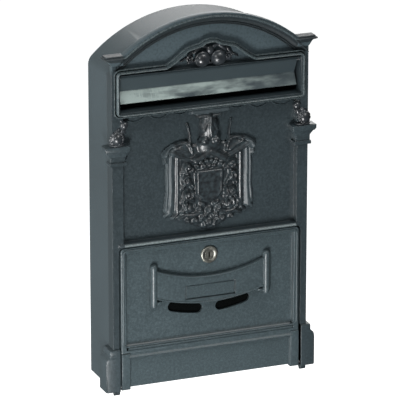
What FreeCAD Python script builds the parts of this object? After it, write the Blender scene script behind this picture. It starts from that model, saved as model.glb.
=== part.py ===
"""Wall mounted mailbox in cast aluminium, built as separate sub-parts.

X is to the right, the front faces -Y, and Z is up. Lengths are in mm.
The sub-parts are drawn with y = 0 on the face of the pilasters and z = 0 at the foot of the front.
Their placement puts the origin on the back face, at the centre of the four wall holes.
"""
import FreeCAD, Part
import math
import os

import Sketcher

os.makedirs("parts", exist_ok=True)
doc = FreeCAD.newDocument("mailbox")
sheet = doc.addObject("Spreadsheet::Sheet", "d")
V = FreeCAD.Vector

DIMENSIONS = {
    # overall
    "depth": 70.5, "mount_height": 190, "half_width": 112.2, "split": 14, "wall": 3,
    "case_r": 154.7, "case_cz": 246, "hole_x": 75, "hole_z": 120, "hole_r": 3,
    # arched rim and its ears
    "rim_r": 155.5, "rim_cz": 254.5, "rim_w": 4.6, "rim_proud": 3, "rim_back": 5,
    "ear_x": 119, "ear_foot": 363, "ear_low": 370.5, "ear_top": 374, "ear_back": 8,
    "tymp_r": 150, "tymp_low": 357, "tymp_deep": 6,
    # frame of the letter slot
    "slot_x": 103.4, "slot_low": 311, "slot_top": 350.2, "bead_x": 105.8, "bead_low": 308,
    "bead_top": 355.5, "bead_w": 2.4, "bead_proud": 2,
    # recessed panel, rail and pilasters
    "panel_x": 99.6, "panel_low": 165.4, "panel_deep": 8, "rail_low": 161.8, "rail_proud": 1,
    # capitals and base blocks
    "cap_x": 120.6, "cap_inner": 93, "cap_top": 275, "cap_low": 270.5, "cap_proud": 4,
    "neck_x": 114, "neck_inner": 98, "neck_proud": 1.5, "ring_x": 115, "ring_inner": 96.2,
    "ring_top": 257.2, "ring_low": 253.6, "ring_proud": 3, "cap_back": 9.5, "wrap_back": 18,
    "base_x": 121.4, "base_edge": 33, "base_top": 47, "base_proud": 3,
    # door opening and door
    "open_x": 105.2, "open_top": 161, "open_r": 5, "stop_deep": 9, "stop_x": 95, "stop_top": 150,
    "stop_low": 10, "door_x": 103.2, "door_top": 160.2, "door_r": 4.5, "door_back": 8.5,
    "field_x": 97, "field_low": 44, "field_top": 154, "field_deep": 5.5, "plinth_x": 93.3,
    "plinth_low": 2, "plinth_top": 33, "plinth_deep": 1.5, "foot_top": 41, "foot_proud": 2,
    # door hinge
    "hinge_y": 1.5, "hinge_z": 3.5, "pin_r": 1.6, "pin_in": 96.5, "pin_out": 111.4, "nub_r": 3.2,
    "nub_z": -2.2, "nub_x": 105.4,
    # viewing windows
    "win_r": 150, "win_cz": 229.5, "win_w": 11, "win_in": 12.4, "win_out": 42.6, "win_cap": 5.55,
    "pane_x": 57, "pane_low": 71, "pane_top": 96, "pane_thick": 1.5, "pane_screw_x": 53,
    # name banner
    "banner_x": 64, "banner_top": 130, "banner_low": 98.9, "banner_top_r": 164, "banner_low_r": 193,
    "banner_front": 1, "roll_x": 65, "roll_y": 2.3, "roll_r": 3.2, "roll_low": 89, "roll_top": 133,
    "name_x": 29, "name_low": 93, "name_top": 109, "name_deep": 1.6, "name_gap": 0.2,
    "name_thick": 1.2, "rivet_x": 60, "rivet_z": 112,
    # flap and its rod
    "flap_x": 100.4, "rod_y": 6.5, "rod_z": 347, "rod_r": 1.5, "rod_x": 106.8, "knuckle_r": 2.8,
    "crease_y": 4.4, "crease_z": -15, "lip_y": -2.1, "lip_z": -27.5, "flap_thick": 2,
    # ornament above the slot, finials and crest
    "ball_x": 9.6, "ball_y": 5, "ball_z": 359.5, "ball_r": 8.2, "finial_x": 106.4, "finial_z": 284,
    "finial_r": 7, "bud_x": 98.5, "bud_z": 297.3, "bud_r": 4.3,
    "crest_rivet_z": 240,
    # lock
    "lock_z": 140, "bezel_r": 9.7, "bezel_front": 3.2, "barrel_r": 8, "barrel_back": 20, "bore_r": 5.2,
    "nut_r": 11.5, "nut_front": 8.6, "nut_back": 12.6, "plug_r": 5.12, "plug_front": 3.6,
    "plug_back": 20.4, "tail": 5, "tail_back": 22.4, "key_w": 1.7, "key_tall": 6.4, "key_deep": 8,
    "cam_front": 20.6, "cam_back": 22.6, "cam_reach": 28, "cam_r": 8, "cam_tip": 5,
    "washer_r": 6, "washer_back": 23.4, "cam_head_r": 3.8, "cam_head_back": 25.8, "cam_screw_r": 1.6,
    # screws that hold the front to the casing
    "screw_r": 2, "head_r": 3.6, "head_tall": 2.4, "lug": 7, "lug_thick": 3,
}
SCREW_PLACES = [("100", "40"), ("104", "230"), ("70", "366")]

for row, (alias, value) in enumerate(DIMENSIONS.items(), start=1):
    sheet.set(f"A{row}", alias)
    sheet.set(f"B{row}", str(value))
    sheet.setAlias(f"B{row}", alias)
doc.recompute()


def value_of(expression):
    result = sheet.evalExpression(str(expression).replace("d.", ""))
    return float(getattr(result, "Value", result))


def place(item, x="0", y="0 - d.depth", z="0 - d.mount_height"):
    item.setExpression("Placement.Base.x", x)
    item.setExpression("Placement.Base.y", y)
    item.setExpression("Placement.Base.z", z)


def new_body(label, x="0", y="0 - d.depth", z="0 - d.mount_height"):
    body = doc.addObject("PartDesign::Body", label)
    body.Label = label
    place(body, x, y, z)
    return body


def new_sketch(body, name, plane, offset):
    sketch = body.newObject("Sketcher::SketchObject", name)
    for feature in body.Origin.OriginFeatures:
        if feature.Role == plane:
            sketch.AttachmentSupport = [(feature, "")]
    sketch.MapMode = "FlatFace"
    sketch.setExpression("AttachmentOffset.Base.z", offset)
    return sketch


def pin_point(sketch, geometry, end, x, y):
    for kind, expression, axis in (("DistanceX", x, -2), ("DistanceY", y, -1)):
        size = value_of(expression)
        if abs(size) < 1e-9:
            sketch.addConstraint(Sketcher.Constraint("PointOnObject", geometry, end, axis))
        else:
            index = sketch.addConstraint(Sketcher.Constraint(kind, -1, 1, geometry, end, size))
            sketch.setExpression(f"Constraints[{index}]", expression)


def add_arc(sketch, start, end, radius, side):
    size = value_of(radius)
    middle = (start + end) * 0.5
    along = end - start
    rise = math.sqrt(max(size**2 - (along.Length / 2) ** 2, 0))
    centre = middle + V(-along.y, along.x, 0).normalize() * rise * side
    first, last = (start, end) if side > 0 else (end, start)
    a0 = math.atan2(first.y - centre.y, first.x - centre.x)
    a1 = math.atan2(last.y - centre.y, last.x - centre.x)
    circle = Part.Circle(centre, V(0, 0, 1), size)
    index = sketch.addGeometry(Part.ArcOfCircle(circle, a0, a1 if a1 > a0 else a1 + 2 * math.pi))
    constraint = sketch.addConstraint(Sketcher.Constraint("Radius", index, size))
    sketch.setExpression(f"Constraints[{constraint}]", radius)
    return (index, 1, 2) if side > 0 else (index, 2, 1)


def add_loop(sketch, points, arcs=None):
    """Closed loop through the points, counter-clockwise; arcs[i] = (radius, +1 convex or -1 hollow)."""
    arcs = arcs or {}
    spots = [V(value_of(x), value_of(y), 0) for x, y in points]
    edges = []
    for i, start in enumerate(spots):
        end = spots[(i + 1) % len(spots)]
        if i in arcs:
            edges.append(add_arc(sketch, start, end, *arcs[i]))
        else:
            edges.append((sketch.addGeometry(Part.LineSegment(start, end)), 1, 2))
    for i, (geometry, _, last) in enumerate(edges):
        follower, first, _ = edges[(i + 1) % len(edges)]
        sketch.addConstraint(Sketcher.Constraint("Coincident", geometry, last, follower, first))
    for (geometry, first, _), (x, y) in zip(edges, points):
        pin_point(sketch, geometry, first, x, y)


def add_circle(sketch, x, y, radius):
    centre = V(value_of(x), value_of(y), 0)
    index = sketch.addGeometry(Part.Circle(centre, V(0, 0, 1), value_of(radius)))
    constraint = sketch.addConstraint(Sketcher.Constraint("Radius", index, value_of(radius)))
    sketch.setExpression(f"Constraints[{constraint}]", radius)
    pin_point(sketch, index, 3, x, y)


def extrude(body, kind, sketch, length, reverse=False):
    feature = body.newObject(f"PartDesign::{kind}", f"{kind}_{sketch.Name}")
    feature.Profile = sketch
    feature.setExpression("Length", length)
    feature.Reversed = reverse
    body.Tip = feature
    return feature


def front_pad(body, name, front, back, points, arcs=None):
    sketch = new_sketch(body, name, "XZ_Plane", f"0 - ({back})")
    add_loop(sketch, points, arcs)
    return extrude(body, "Pad", sketch, f"({back}) - ({front})")


def front_pocket(body, name, front, back, points, arcs=None):
    sketch = new_sketch(body, name, "XZ_Plane", f"0 - ({front})")
    add_loop(sketch, points, arcs)
    return extrude(body, "Pocket", sketch, f"({back}) - ({front})")


def front_holes(body, name, front, back, places, radius):
    sketch = new_sketch(body, name, "XZ_Plane", f"0 - ({front})")
    for x, z in places:
        add_circle(sketch, x, z, radius)
    return extrude(body, "Pocket", sketch, f"({back}) - ({front})")


def side_hole(body, name, side, inner, outer, y, z, radius):
    sketch = new_sketch(body, name, "YZ_Plane", f"{side} * ({outer})")
    add_circle(sketch, y, z, radius)
    return extrude(body, "Pocket", sketch, f"({outer}) - ({inner})", side < 0)


def box(x0, x1, z0, z1):
    return [(x0, z0), (x1, z0), (x1, z1), (x0, z1)]


def mirrored(points):
    """The points with x changed in sign, in the order that keeps a loop counter-clockwise."""
    return [(f"0 - ({x})", z) for x, z in reversed(points)]


def both_ways(places):
    return [(x, z) for x, z in places] + [(f"0 - ({x})", z) for x, z in places]


def arch(half, low, radius, centre_z):
    """Upright outline with an arched top, and the arc entry that goes with it."""
    spring = f"{centre_z} + sqrt(({radius})^2 - ({half})^2)"
    points = [(f"0 - ({half})", low), (half, low), (half, spring), (f"0 - ({half})", spring)]
    return points, {2: (radius, 1)}


def turned(body, name, profile):
    """Revolve a profile of (y, radius) points about the body's y axis."""
    sketch = new_sketch(body, name, "YZ_Plane", "0")
    add_loop(sketch, profile)
    feature = body.newObject("PartDesign::Revolution", f"Turned_{name}")
    feature.Profile = sketch
    feature.ReferenceAxis = (sketch, ["H_Axis"])
    feature.Angle = 360
    body.Tip = feature
    return feature


def rear_casing():
    body = new_body("rear_casing")
    points, arcs = arch("d.half_width", "0", "d.case_r", "d.case_cz")
    front_pad(body, "Shell", "d.split", "d.depth", points, arcs)
    points, arcs = arch("d.half_width - d.wall", "d.wall", "d.case_r - d.wall", "d.case_cz")
    front_pocket(body, "Room", "d.split", "d.depth - d.wall", points, arcs)
    lugs = [("94", "110", "33", "47"), ("98", "110", "223", "237"), ("63", "77", "359", "382")]
    for number, (x0, x1, z0, z1) in enumerate(lugs):
        corners = box(x0, x1, z0, z1)
        back = "d.split + d.lug_thick"
        front_pad(body, f"LugRight{number}", "d.split", back, corners)
        front_pad(body, f"LugLeft{number}", "d.split", back, mirrored(corners))
    back = "d.split + d.lug_thick"
    front_holes(body, "LugHoles", "d.split", back, both_ways(SCREW_PLACES), "d.screw_r + 0.2")
    low = ("d.hole_x", "d.mount_height - d.hole_z")
    high = ("d.hole_x", "d.mount_height + d.hole_z")
    front_holes(body, "WallHoles", "d.depth - d.wall", "d.depth", both_ways([low, high]), "d.hole_r")
    return body


def rim_outline():
    outer = "sqrt(d.rim_r^2 - (d.ear_top - d.rim_cz)^2)"
    inner = "sqrt((d.rim_r - d.rim_w)^2 - (d.ear_low - d.rim_cz)^2)"
    right = [("d.ear_x", "d.ear_low"), ("d.ear_x", "d.ear_top"), (outer, "d.ear_top")]
    left = [(f"0 - {outer}", "d.ear_top"), ("0 - d.ear_x", "d.ear_top")]
    left += [("0 - d.ear_x", "d.ear_low")]
    points = right + left + [(f"0 - {inner}", "d.ear_low"), (inner, "d.ear_low")]
    return points, {2: ("d.rim_r", 1), 6: ("d.rim_r - d.rim_w", -1)}


def frame_loop(x, low, top, ogee):
    right = [(x, low), (x, top)] + [(str(a), str(b)) for a, b in ogee]
    left = [(f"0 - ({a})", b) for a, b in reversed(right) if a != "0"]
    return right + left


def front_surround():
    body = new_body("front_surround")
    points, arcs = arch("d.half_width", "0", "d.case_r", "d.case_cz")
    front_pad(body, "Plate", "0", "d.split", points, arcs)
    side = "sqrt((d.rim_r - 2)^2 - (d.ear_top - 3 - d.rim_cz)^2)"
    points = [("0 - d.half_width", "330"), ("d.half_width", "330"), ("d.half_width", "d.ear_top - 3")]
    points += [(side, "d.ear_top - 3"), (f"0 - {side}", "d.ear_top - 3")]
    points += [("0 - d.half_width", "d.ear_top - 3")]
    front_pad(body, "Gable", "0", "d.rim_back", points, {3: ("d.rim_r - 2", 1)})
    points, arcs = rim_outline()
    front_pad(body, "Rim", "0 - d.rim_proud", "d.rim_back", points, arcs)
    ear = box("d.half_width - 13", "d.ear_x", "d.ear_low", "d.ear_top")
    cove = [("d.half_width - 13", "d.ear_foot"), ("d.half_width", "d.ear_foot")]
    cove += [("d.ear_x - 1.5", "d.ear_low"), ("d.half_width - 13", "d.ear_low")]
    for side, turn in (("Right", list), ("Left", mirrored)):
        front_pad(body, f"Ear{side}", "0 - d.rim_proud", "d.ear_back", turn(ear))
        front_pad(body, f"EarCove{side}", "0 - d.rim_proud / 2", "d.rim_back", turn(cove))

    half = "sqrt(d.tymp_r^2 - (d.tymp_low - d.rim_cz)^2)"
    chord = [(f"0 - {half}", "d.tymp_low"), (half, "d.tymp_low")]
    front_pocket(body, "Tympanum", "0", "d.tymp_deep", chord, {1: ("d.tymp_r", 1)})
    ogee = [(51, 356.5), (43, 361), (34, 368), (27, 373), (19, 374.8), (12, 376.4), (7, 379.4), (0, 380.6)]
    outer = frame_loop("d.bead_x", "d.bead_low", "d.bead_top", ogee)
    inner_ogee = [(50, 353.2), (41.5, 358.6), (32.5, 365.6), (26, 370.6)]
    inner_ogee += [(18.4, 372.4), (11, 374), (6, 377), (0, 378.2)]
    inner = frame_loop("d.slot_x", "d.slot_low", "d.bead_top - d.bead_w", inner_ogee)
    sketch = new_sketch(body, "FrameBead", "XZ_Plane", "0 - d.tymp_deep")
    add_loop(sketch, outer)
    add_loop(sketch, inner)
    extrude(body, "Pad", sketch, "d.tymp_deep + d.bead_proud")
    front_pocket(body, "FrameField", "0", "d.tymp_deep", inner)
    lip = box("0 - d.slot_x", "d.slot_x", "d.slot_top", "d.slot_top + 1")
    front_pad(body, "Lip", "0", "d.tymp_deep", lip)
    slot = box("0 - d.slot_x", "d.slot_x", "d.slot_low", "d.slot_top")
    front_pocket(body, "Slot", "d.tymp_deep", "d.split", slot)

    panel = box("0 - d.panel_x", "d.panel_x", "d.panel_low", "d.bead_low")
    front_pocket(body, "Panel", "0", "d.panel_deep", panel)
    room = box("0 - (d.panel_x - 2)", "d.panel_x - 2", "d.open_top + 4", "d.bead_low - 3")
    front_pocket(body, "PanelBack", "d.panel_deep + d.wall", "d.split", room)
    rail = box("0 - d.open_x", "d.open_x", "d.rail_low", "d.panel_low")
    front_pad(body, "Rail", "0 - d.rail_proud", "0", rail)

    door_way = box("0 - d.open_x", "d.open_x", "0 - 1", "d.open_top - d.open_r")
    top = [("d.open_x - d.open_r", "d.open_top"), ("0 - (d.open_x - d.open_r)", "d.open_top")]
    points = door_way[:3] + top + door_way[3:]
    front_pocket(body, "DoorRecess", "0", "d.stop_deep", points, {2: ("d.open_r", 1), 4: ("d.open_r", 1)})
    way = box("0 - d.stop_x", "d.stop_x", "0 - 1", "d.stop_top")
    front_pocket(body, "DoorWay", "d.stop_deep", "d.split", way)
    heel = box("0 - d.open_x", "d.open_x", "0 - 1", "d.stop_low")
    front_pocket(body, "HeelRoom", "d.stop_deep", "d.split", heel)

    plate = ("Plate", "d.cap_inner", "d.cap_x", "d.cap_low", "d.cap_top", "d.cap_proud")
    neck = ("Neck", "d.neck_inner", "d.neck_x", "d.ring_low", "d.cap_low", "d.neck_proud")
    ring = ("Ring", "d.ring_inner", "d.ring_x", "d.ring_low", "d.ring_top", "d.ring_proud")
    foot = box("d.open_x", "d.half_width", "0", "d.base_top")
    flank = [("d.half_width", "0"), ("d.base_x", "0"), ("d.base_x", "d.base_edge")]
    flank += [("d.half_width", "d.base_top")]
    for side, turn in (("Right", list), ("Left", mirrored)):
        for name, inner_x, outer_x, low, high, proud in (plate, neck, ring):
            face = turn(box(inner_x, outer_x, low, high))
            front_pad(body, f"Capital{name}{side}", f"0 - {proud}", "d.panel_deep", face)
            wing = turn(box("d.half_width", outer_x, low, high))
            front_pad(body, f"CapitalWrap{name}{side}", f"0 - {proud}", "d.cap_back", wing)
        front_pad(body, f"Foot{side}", "0 - d.base_proud", "d.split", turn(foot))
        front_pad(body, f"FootWrap{side}", "0 - d.base_proud", "d.wrap_back", turn(flank))

    for side, sign in (("Right", 1), ("Left", -1)):
        sketch = new_sketch(body, f"Nub{side}", "YZ_Plane", f"{sign} * d.nub_x")
        add_loop(sketch, box("d.hinge_y - d.nub_r", "d.hinge_y + d.nub_r", "d.nub_z", "8"))
        extrude(body, "Pad", sketch, "d.pin_out - d.nub_x", sign < 0)
        sketch = new_sketch(body, f"NubEnd{side}", "YZ_Plane", f"{sign} * d.nub_x")
        add_circle(sketch, "d.hinge_y", "d.nub_z", "d.nub_r")
        extrude(body, "Pad", sketch, "d.pin_out - d.nub_x", sign < 0)
        # the pocket of a side hole starts outside, so its cut runs inwards from the pin's outer end
        pin_hole = new_sketch(body, f"PinHole{side}", "YZ_Plane", f"{sign} * (d.pin_out + 0.1)")
        add_circle(pin_hole, "d.hinge_y", "d.hinge_z", "d.pin_r + 0.02")
        extrude(body, "Pocket", pin_hole, "d.pin_out + 0.1 - d.door_x", sign < 0)
        rod_hole = new_sketch(body, f"RodHole{side}", "YZ_Plane", f"{sign} * (d.rod_x + 0.2)")
        add_circle(rod_hole, "d.rod_y", "d.rod_z", "d.rod_r + 0.03")
        extrude(body, "Pocket", rod_hole, "d.rod_x + 0.2 - d.flap_x", sign < 0)
    holes = both_ways(SCREW_PLACES)
    front_holes(body, "ScrewHoles", "d.split - 4", "d.split", holes, "d.screw_r")
    rivets = [("0", "d.crest_rivet_z + 45"), ("0", "d.crest_rivet_z - 45")]
    front_holes(body, "RivetHoles", "d.panel_deep", "d.panel_deep + d.wall", rivets, "1.6")
    return body


def door_panel():
    body = new_body("door_panel")
    side = ("d.door_x", "d.door_top - d.door_r")
    top = ("d.door_x - d.door_r", "d.door_top")
    points = [("0 - d.door_x", "0"), ("d.door_x", "0"), side, top]
    points += [("0 - (d.door_x - d.door_r)", "d.door_top"), ("0 - d.door_x", "d.door_top - d.door_r")]
    front_pad(body, "Slab", "0", "d.door_back", points, {2: ("d.door_r", 1), 4: ("d.door_r", 1)})
    field = box("0 - d.field_x", "d.field_x", "d.field_low", "d.field_top")
    front_pocket(body, "Field", "0", "d.field_deep", field)
    plinth = box("0 - d.plinth_x", "d.plinth_x", "0 - 1", "d.plinth_top")
    front_pocket(body, "Plinth", "0", "d.plinth_deep", plinth)
    under = box("0 - d.plinth_x", "d.plinth_x", "0 - 1", "d.plinth_low")
    front_pocket(body, "Underside", "0 - 1", "d.door_back + 1", under)
    hollow = box("0 - (d.plinth_x - 4)", "d.plinth_x - 4", "d.plinth_low + 4", "d.field_low - 3")
    front_pocket(body, "PlinthBack", "d.plinth_deep + d.wall", "d.door_back", hollow)
    foot = box("d.plinth_x", "d.door_x", "0", "d.foot_top")
    front_pad(body, "FootRight", "0 - d.foot_proud", "0", foot)
    front_pad(body, "FootLeft", "0 - d.foot_proud", "0", mirrored(foot))

    def on_arc(radius, along):
        share = f"({along}) / d.win_r"
        return (f"({radius}) * {share}", f"d.win_cz - ({radius}) * sqrt(1 - ({share})^2)")

    near, far = "d.win_r - d.win_w / 2", "d.win_r + d.win_w / 2"
    window = [on_arc(far, "d.win_in"), on_arc(far, "d.win_out")]
    window += [on_arc(near, "d.win_out"), on_arc(near, "d.win_in")]
    right_arcs = {0: (far, 1), 1: ("d.win_cap", 1), 2: (near, -1), 3: ("d.win_cap", 1)}
    front_pocket(body, "WindowRight", "d.field_deep", "d.door_back", window, right_arcs)
    left_arcs = {0: (near, -1), 1: ("d.win_cap", 1), 2: (far, 1), 3: ("d.win_cap", 1)}
    front_pocket(body, "WindowLeft", "d.field_deep", "d.door_back", mirrored(window), left_arcs)

    front_holes(body, "LockHole", "0", "d.door_back", [("0", "d.lock_z")], "d.barrel_r + 0.1")
    rivets = both_ways([("d.rivet_x", "d.rivet_z")])
    front_holes(body, "RivetHoles", "d.field_deep", "d.door_back", rivets, "1.5")
    screws = both_ways([("d.pane_screw_x", "d.pane_low + 3.5"), ("d.pane_screw_x", "d.pane_top - 3.5")])
    front_holes(body, "PaneScrewHoles", "d.door_back - 2.2", "d.door_back", screws, "1.3")
    for side, sign in (("Right", 1), ("Left", -1)):
        ends = ("d.pin_in - 0.5", "d.door_x")
        side_hole(body, f"PinHole{side}", sign, *ends, "d.hinge_y", "d.hinge_z", "d.pin_r + 0.06")
    return body


def name_banner():
    body = new_body("name_banner")
    points = [("d.banner_x", "d.banner_low"), ("d.banner_x", "d.banner_top")]
    points += [("0 - d.banner_x", "d.banner_top"), ("0 - d.banner_x", "d.banner_low")]
    arcs = {1: ("d.banner_top_r", -1), 3: ("d.banner_low_r", 1)}
    front_pad(body, "Ribbon", "d.banner_front", "d.field_deep", points, arcs)
    for name, sign in (("RollRight", 1), ("RollLeft", -1)):
        sketch = new_sketch(body, name, "XY_Plane", "d.roll_low")
        add_circle(sketch, f"{sign} * d.roll_x", "d.roll_y", "d.roll_r")
        extrude(body, "Pad", sketch, "d.roll_top - d.roll_low")
    seat = box("0 - d.name_x", "d.name_x", "d.name_low", "d.name_top")
    front_pocket(body, "NameSeat", "d.banner_front", "d.banner_front + d.name_deep", seat)
    rivets = both_ways([("d.rivet_x", "d.rivet_z")])
    front_holes(body, "RivetHoles", "d.banner_front + 2", "d.field_deep", rivets, "1.5")
    return body


def name_plate():
    body = new_body("name_plate")
    x, back = "d.name_x - d.name_gap", "d.banner_front + d.name_deep"
    points = box(f"0 - ({x})", x, "d.name_low + d.name_gap", "d.name_top - d.name_gap")
    front_pad(body, "Card", f"{back} - d.name_thick", back, points)
    return body


def window_pane():
    body = new_body("window_pane")
    points = box("0 - d.pane_x", "d.pane_x", "d.pane_low", "d.pane_top")
    front_pad(body, "Sheet", "d.door_back", "d.door_back + d.pane_thick", points)
    screws = both_ways([("d.pane_screw_x", "d.pane_low + 3.5"), ("d.pane_screw_x", "d.pane_top - 3.5")])
    front_holes(body, "ScrewHoles", "d.door_back", "d.door_back + d.pane_thick", screws, "1.5")
    return body


def slot_flap():
    body = new_body("slot_flap", "0", "d.rod_y - d.depth", "d.rod_z - d.mount_height")
    sketch = new_sketch(body, "Knuckle", "YZ_Plane", "0 - d.flap_x")
    add_circle(sketch, "0", "0", "d.knuckle_r")
    extrude(body, "Pad", sketch, "2 * d.flap_x")
    sketch = new_sketch(body, "Leaf", "YZ_Plane", "0 - d.flap_x")
    front = [("0 - (d.knuckle_r - 0.1)", "0 - 0.8"), ("d.crease_y", "d.crease_z"), ("d.lip_y", "d.lip_z")]
    back = [("d.lip_y + 1.77", "d.lip_z - 0.92"), ("d.crease_y + 2.25", "d.crease_z"), ("0 - 0.9", "0.1")]
    add_loop(sketch, front + back)
    extrude(body, "Pad", sketch, "2 * d.flap_x")
    sketch = new_sketch(body, "RodBore", "YZ_Plane", "d.flap_x")
    add_circle(sketch, "0", "0", "d.rod_r + 0.06")
    extrude(body, "Pocket", sketch, "2 * d.flap_x")
    return body


def rod(label, x, y, z, length, radius, axis):
    cylinder = doc.addObject("Part::Cylinder", label)
    cylinder.Label = label
    cylinder.setExpression("Radius", radius)
    cylinder.setExpression("Height", length)
    cylinder.Placement.Rotation = FreeCAD.Rotation(V(0, 0, 1), axis)
    place(cylinder, x, y, z)
    return cylinder


def flap_rod():
    y, z = "d.rod_y - d.depth", "d.rod_z - d.mount_height"
    return rod("flap_rod", "0 - d.rod_x", y, z, "2 * d.rod_x", "d.rod_r", V(1, 0, 0))


def door_hinge_pin(label, sign):
    y, z = "d.hinge_y - d.depth", "d.hinge_z - d.mount_height"
    length = "d.pin_out - d.pin_in"
    return rod(label, f"{sign} * d.pin_in", y, z, length, "d.pin_r", V(sign, 0, 0))


def ball(name, x, y, z, radius):
    sphere = doc.addObject("Part::Sphere", name)
    sphere.setExpression("Radius", radius)
    place(sphere, x, y, z)
    return sphere


def cut_behind(label, pieces, plane):
    """Fuse the pieces and take away what lies behind a plane parallel to the wall."""
    joined = doc.addObject("Part::MultiFuse", f"{label}_pieces")
    joined.Shapes = pieces
    block = doc.addObject("Part::Box", f"{label}_behind")
    block.Length = 300
    block.Width = 60
    block.Height = 500
    place(block, "0 - 150", f"({plane}) - d.depth", "0 - d.mount_height")
    result = doc.addObject("Part::Cut", label)
    result.Label = label
    result.Base = joined
    result.Tool = block
    return result


def slot_ornament():
    pieces = []
    for name, sign in (("BallRight", 1), ("BallLeft", -1)):
        spot = (f"{sign} * d.ball_x", "d.ball_y - d.depth", "d.ball_z - d.mount_height")
        pieces.append(ball(name, *spot, "d.ball_r"))
        spot = (f"{sign} * 27", "d.tymp_deep - d.depth", "360.5 - d.mount_height")
        pieces.append(ball(f"Boss{name}", *spot, "3"))
    leaf = new_body("OrnamentLeaf")
    points = [("0 - 30", "357.5"), ("30", "357.5"), ("26", "363"), ("14", "371"), ("0", "375.5")]
    points += [("0 - 14", "371"), ("0 - 26", "363")]
    front_pad(leaf, "Leaf", "d.tymp_deep - 1.5", "d.tymp_deep", points)
    points = [("0 - 7", "357"), ("7", "357"), ("9", "367"), ("0", "373"), ("0 - 9", "367")]
    front_pad(leaf, "Shell", "d.tymp_deep - 4", "d.tymp_deep", points)
    return cut_behind("slot_ornament", pieces + [leaf], "d.tymp_deep")


def finial(label, sign):
    x = f"{sign} * d.finial_x"
    pieces = [ball(f"{label}_ball", x, "0 - 1 - d.depth", "d.finial_z - d.mount_height", "d.finial_r")]
    bud = (f"{sign} * d.bud_x", "0 - 1 - d.depth", "d.bud_z - d.mount_height")
    pieces.append(ball(f"{label}_bud", *bud, "d.bud_r"))
    run, rise = value_of("d.bud_x - d.finial_x") * sign, value_of("d.bud_z - d.finial_z")
    length = "sqrt((d.finial_x - d.bud_x)^2 + (d.bud_z - d.finial_z)^2)"
    z = "d.finial_z - d.mount_height"
    pieces.append(rod(f"{label}_stem", x, "0 - 1 - d.depth", z, length, "2.6", V(run, 0, rise)))
    base = "d.finial_z - d.cap_top"
    pieces.append(rod(f"{label}_base", x, "0 - 1 - d.depth", "d.cap_top - d.mount_height", base, "4.5", V(0, 0, 1)))
    return cut_behind(label, pieces, "0")


def crest_relief():
    body = new_body("crest_relief")
    back = "d.panel_deep"

    def slab(name, proud, half):
        right = [(str(x), str(z)) for x, z in half]
        left = [(f"0 - {x}", z) for x, z in reversed(right) if x != "0"]
        front_pad(body, name, f"{back} - {proud}", back, right + left)

    mantle = [(0, 170), (10, 171), (24, 176), (38, 186), (49, 190), (45, 200), (44, 250), (51, 256)]
    mantle += [(50, 263), (34, 264), (25, 286), (22, 287), (18, 268), (14, 274), (14, 297)]
    slab("Mantle", 3, mantle + [(22, 300), (22, 305), (0, 305)])
    slab("Helmet", 6.5, [(0, 246), (10, 250), (15, 262), (13, 280), (11, 292), (0, 293)])
    slab("Crown", 5.5, [(0, 299), (22, 300), (22, 305), (0, 305)])
    slab("Shield", 5, [(0, 201), (10, 206), (15, 215), (15, 236), (0, 236)])
    slab("Medallion", 5, [(0, 173), (8, 176), (10, 184), (8, 192), (0, 195)])
    for name, sign in (("Right", list), ("Left", mirrored)):
        front_pad(body, f"Scroll{name}", f"{back} - 5", back, sign(box("21", "31", "196", "244")))
        front_pad(body, f"Drape{name}", f"{back} - 4.5", back, sign(box("36", "43", "196", "254")))
    rivets = [("0", "d.crest_rivet_z + 45"), ("0", "d.crest_rivet_z - 45")]
    front_holes(body, "RivetHoles", f"{back} - 2", back, rivets, "1.6")
    return body


def fastener(name, x, z, shank_front, head_front, head_back, shank_r, head_r):
    """Round-headed fastener that lies along y, with its head at the back."""
    body = new_body(name, x, "0 - d.depth", f"{z} - d.mount_height")
    profile = [(shank_front, "0"), (head_back, "0"), (f"({head_back}) - 0.6", head_r)]
    profile += [(head_front, head_r), (head_front, shank_r), (shank_front, shank_r)]
    turned(body, f"{name}_turn", profile)
    return body


def group(label, pieces):
    compound = doc.addObject("Part::Compound", label)
    compound.Label = label
    compound.Links = pieces
    return compound


def fasteners(label, places, *sizes):
    items = [fastener(f"{label}_{i}", x, z, *sizes) for i, (x, z) in enumerate(places)]
    return group(label, items)


def surround_screws():
    back = "d.split + d.lug_thick"
    return fasteners("surround_screws", both_ways(SCREW_PLACES), "d.split - 3.6", back,
                     f"{back} + d.head_tall", "d.screw_r - 0.05", "d.head_r")


def crest_rivets():
    places = [("0", "(d.crest_rivet_z + 45)"), ("0", "(d.crest_rivet_z - 45)")]
    back = "d.panel_deep + d.wall"
    return fasteners("crest_rivets", places, "d.panel_deep - 1.8", back, f"{back} + 1.4", "1.55", "3")


def banner_rivets():
    places = both_ways([("d.rivet_x", "d.rivet_z")])
    return fasteners("banner_rivets", places, "d.banner_front + 2.2", "d.door_back", "d.door_back + 1.3", "1.45", "2.8")


def pane_screws():
    places = both_ways([("d.pane_screw_x", "(d.pane_low + 3.5)"), ("d.pane_screw_x", "(d.pane_top - 3.5)")])
    head = "d.door_back + d.pane_thick"
    return fasteners("pane_screws", places, "d.door_back - 2", head, f"{head} + 1.5", "1.25", "2.6")


def lock_body(label):
    return new_body(label, "0", "0 - d.depth", "d.lock_z - d.mount_height")


def lock_housing():
    body = lock_body("lock_housing")
    profile = [("d.bezel_front", "d.bore_r"), ("d.barrel_back", "d.bore_r"), ("d.barrel_back", "d.barrel_r")]
    profile += [("d.field_deep", "d.barrel_r"), ("d.field_deep", "d.bezel_r")]
    profile += [("d.bezel_front + 0.8", "d.bezel_r"), ("d.bezel_front", "d.bezel_r - 0.8")]
    turned(body, "Barrel", profile)
    return body


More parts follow.
